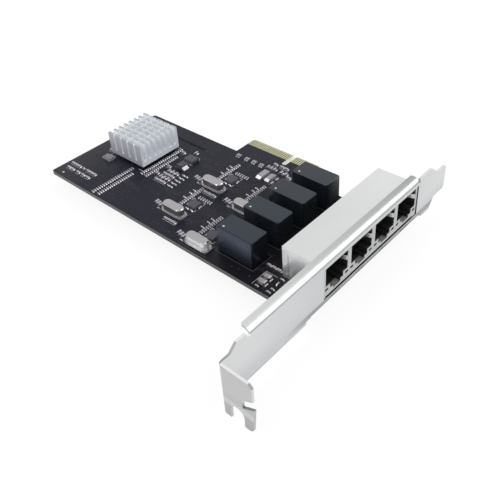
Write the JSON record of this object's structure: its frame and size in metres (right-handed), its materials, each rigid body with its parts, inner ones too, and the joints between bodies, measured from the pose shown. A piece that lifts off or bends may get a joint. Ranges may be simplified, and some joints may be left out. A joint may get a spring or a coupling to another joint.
{
  "type": "network interface card",
  "caption": "Short expansion card with a row of shielded network sockets on a full-height bracket, a finned heatsink, isolation transformers and an edge connector.",
  "frame": {"origin": "on the board's mating edge, at the centre of the key notch and at the board's mid-thickness", "axes": "+X leads out through the bracket and the sockets, +Y into the card slot, +Z out of the component side"},
  "size_m": [0.1428, 0.12, 0.0226],
  "materials": {
    "soldermask_black": "satin black solder mask over glass fibre",
    "contact_gold": "thin gold plating",
    "plated_steel": "satin zinc plating",
    "screw_nickel": "nickel plated",
    "shield_nickel": "bright tin plating",
    "housing_black": "matt black moulding",
    "wire_gold": "gold plated spring wire",
    "spring_steel": "bright rolled strip",
    "lamp_clear": "milky clear moulding",
    "potting_black": "glossy black shell",
    "tinned_metal": "tin plated",
    "package_black": "matt black moulding compound",
    "can_steel": "bright nickel plated can",
    "fin_aluminium": "plain extruded and sawn",
    "pad_grey": "soft filled silicone",
    "resistor_black": "glazed black",
    "ceramic_brown": "fired brown ceramic",
    "ceramic_beige": "fired beige ceramic",
    "ceramic_white": "fired pale ceramic"
  },
  "bodies": {
    "root": {"circuit_board": "soldermask_black", "edge_contacts_component_side": "contact_gold", "edge_contacts_solder_side": "contact_gold", "bracket": "plated_steel", "bracket_screw": "screw_nickel", "jack_shield": "shield_nickel", "jack_housing": "housing_black", "jack_wires": "wire_gold", "jack_lamps": "lamp_clear", "jack_pins": "tinned_metal", "shield_springs": "spring_steel", "transformer_pins": "tinned_metal", "heatsink": "fin_aluminium", "thermal_pad": "pad_grey", "switch_chip": "package_black", "crystal_bases": "package_black", "regulator_chip": "package_black", "regulator_leads": "tinned_metal", "power_diode": "package_black", "power_diode_terminals": "tinned_metal", "oscillator_tray": "ceramic_white", "oscillator_lid": "can_steel", "supply_coils": "package_black", "supply_coil_terminals": "tinned_metal", "chip_resistors": "resistor_black", "bypass_capacitors": "ceramic_brown", "chip_capacitors": "ceramic_brown", "chip_capacitor_ends": "tinned_metal", "large_capacitors": "ceramic_beige", "large_capacitor_ends": "tinned_metal", "transformer_1": "potting_black", "network_chip_1": "package_black", "crystal_can_1": "can_steel", "transformer_2": "potting_black", "network_chip_2": "package_black", "crystal_can_2": "can_steel", "transformer_3": "potting_black", "network_chip_3": "package_black", "crystal_can_3": "can_steel", "transformer_4": "potting_black", "network_chip_4": "package_black", "crystal_can_4": "can_steel"}
  },
  "joints": []
}
